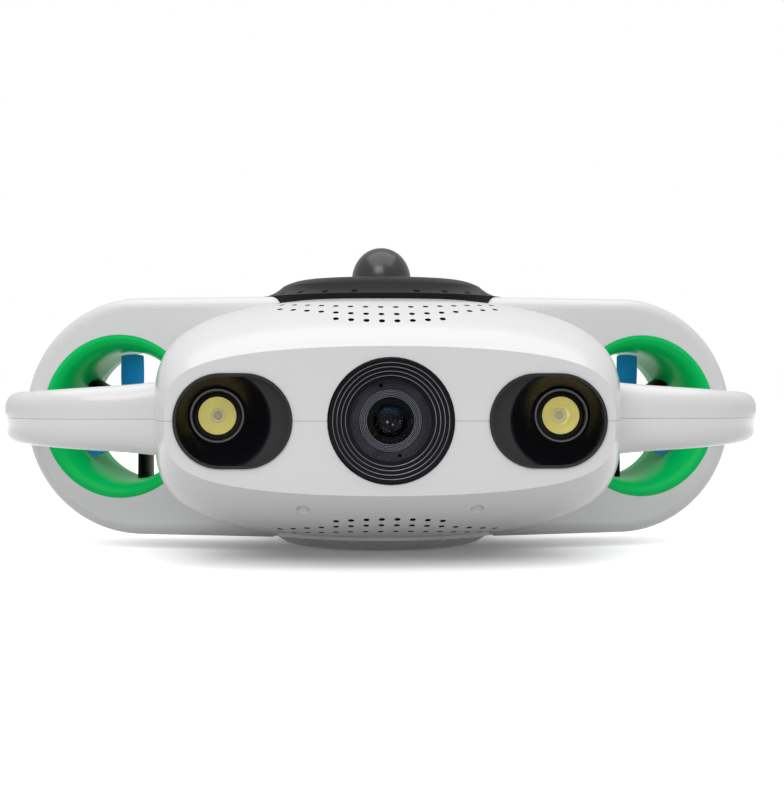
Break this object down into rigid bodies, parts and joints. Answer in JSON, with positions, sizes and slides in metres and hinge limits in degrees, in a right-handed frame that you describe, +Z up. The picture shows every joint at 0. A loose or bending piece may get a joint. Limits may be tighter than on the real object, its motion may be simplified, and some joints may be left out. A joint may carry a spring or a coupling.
{
  "type": "underwater inspection rov",
  "caption": "Compact underwater inspection vehicle: white two-shell hull, front camera port, twin lamps, ducted side thrusters, grip bars and a domed top cover.",
  "frame": {"origin": "centre of the flat underside, on the axis of the vertical thruster", "axes": "+Z up, the camera faces -Y, +X to the right in a front view; +Y is the tail"},
  "size_m": [0.441, 0.3222, 0.1804],
  "materials": {
    "white_hull": "smooth gloss white moulding",
    "green_duct": "gloss green moulding",
    "blue_propeller": "mid blue moulding",
    "black_plastic": "satin black moulding",
    "black_gloss": "gloss black moulding",
    "clear_window": "clear window",
    "grey_ring": "dark grey anodised ring",
    "circuit_board": "green laminate",
    "lamp_yellow": "dished reflector",
    "lamp_emitter": "light source",
    "housing_metal": "anodised aluminium",
    "seal_rubber": "rubber ring",
    "battery_wrap": "shrink wrap",
    "bearing_steel": "bearing steel",
    "shaft_steel": "ground shaft",
    "magnet_steel": "plated magnets",
    "motor_copper": "copper winding",
    "screw_steel": "stainless screws"
  },
  "bodies": {
    "root": {"battery_pack": "battery_wrap", "camera_board": "circuit_board", "camera_housing": "black_plastic", "control_board": "circuit_board", "electronics_housing": "housing_metal", "front_lens": "clear_window", "housing_lid": "housing_metal", "hull_screws": "screw_steel", "lamp_emitters": "lamp_emitter", "left_duct_liner": "green_duct", "left_grip_lower": "white_hull", "left_grip_upper": "white_hull", "left_lamp_bezel": "black_gloss", "left_lamp_housing": "housing_metal", "left_lamp_reflector": "lamp_yellow", "left_lamp_window": "clear_window", "left_motor_bearings": "bearing_steel", "left_motor_mount": "black_plastic", "left_motor_stator": "motor_copper", "left_motor_tail_cap": "black_plastic", "lens_barrel": "black_plastic", "lens_retainer": "grey_ring", "lid_seal": "seal_rubber", "lower_shell": "white_hull", "port_bezel": "black_gloss", "port_window": "clear_window", "right_duct_liner": "green_duct", "right_grip_lower": "white_hull", "right_grip_upper": "white_hull", "right_lamp_bezel": "black_gloss", "right_lamp_housing": "housing_metal", "right_lamp_reflector": "lamp_yellow", "right_lamp_window": "clear_window", "right_motor_bearings": "bearing_steel", "right_motor_mount": "black_plastic", "right_motor_stator": "motor_copper", "right_motor_tail_cap": "black_plastic", "tether_socket": "housing_metal", "top_cover": "black_plastic", "top_dome": "black_gloss", "underside_cover": "white_hull", "upper_shell": "white_hull", "vertical_duct_liner": "black_plastic", "vertical_motor_bearings": "bearing_steel", "vertical_motor_mount": "black_plastic", "vertical_motor_stator": "motor_copper", "vertical_motor_tail_cap": "black_plastic"},
    "left_propulsor": {"left_motor_rotor": "magnet_steel", "left_motor_shaft": "shaft_steel", "left_propeller": "blue_propeller", "left_propeller_nut": "blue_propeller"},
    "right_propulsor": {"right_motor_rotor": "magnet_steel", "right_motor_shaft": "shaft_steel", "right_propeller": "blue_propeller", "right_propeller_nut": "blue_propeller"},
    "vertical_propulsor": {"vertical_motor_rotor": "magnet_steel", "vertical_motor_shaft": "shaft_steel", "vertical_propeller": "blue_propeller", "vertical_propeller_nut": "blue_propeller"}
  },
  "joints": [
    {"name": "right_propeller_spin", "type": "hinge", "parent": "root", "child": "right_propulsor", "pos_m": [0.157, -0.022, 0.078], "axis": [-0.2588, 0.9659, 0], "continuous": true},
    {"name": "left_propeller_spin", "type": "hinge", "parent": "root", "child": "left_propulsor", "pos_m": [-0.157, -0.022, 0.078], "axis": [0.2588, 0.9659, 0], "continuous": true},
    {"name": "vertical_propeller_spin", "type": "hinge", "parent": "root", "child": "vertical_propulsor", "pos_m": [0, 0, 0.078], "axis": [0, 0, 1], "continuous": true}
  ]
}
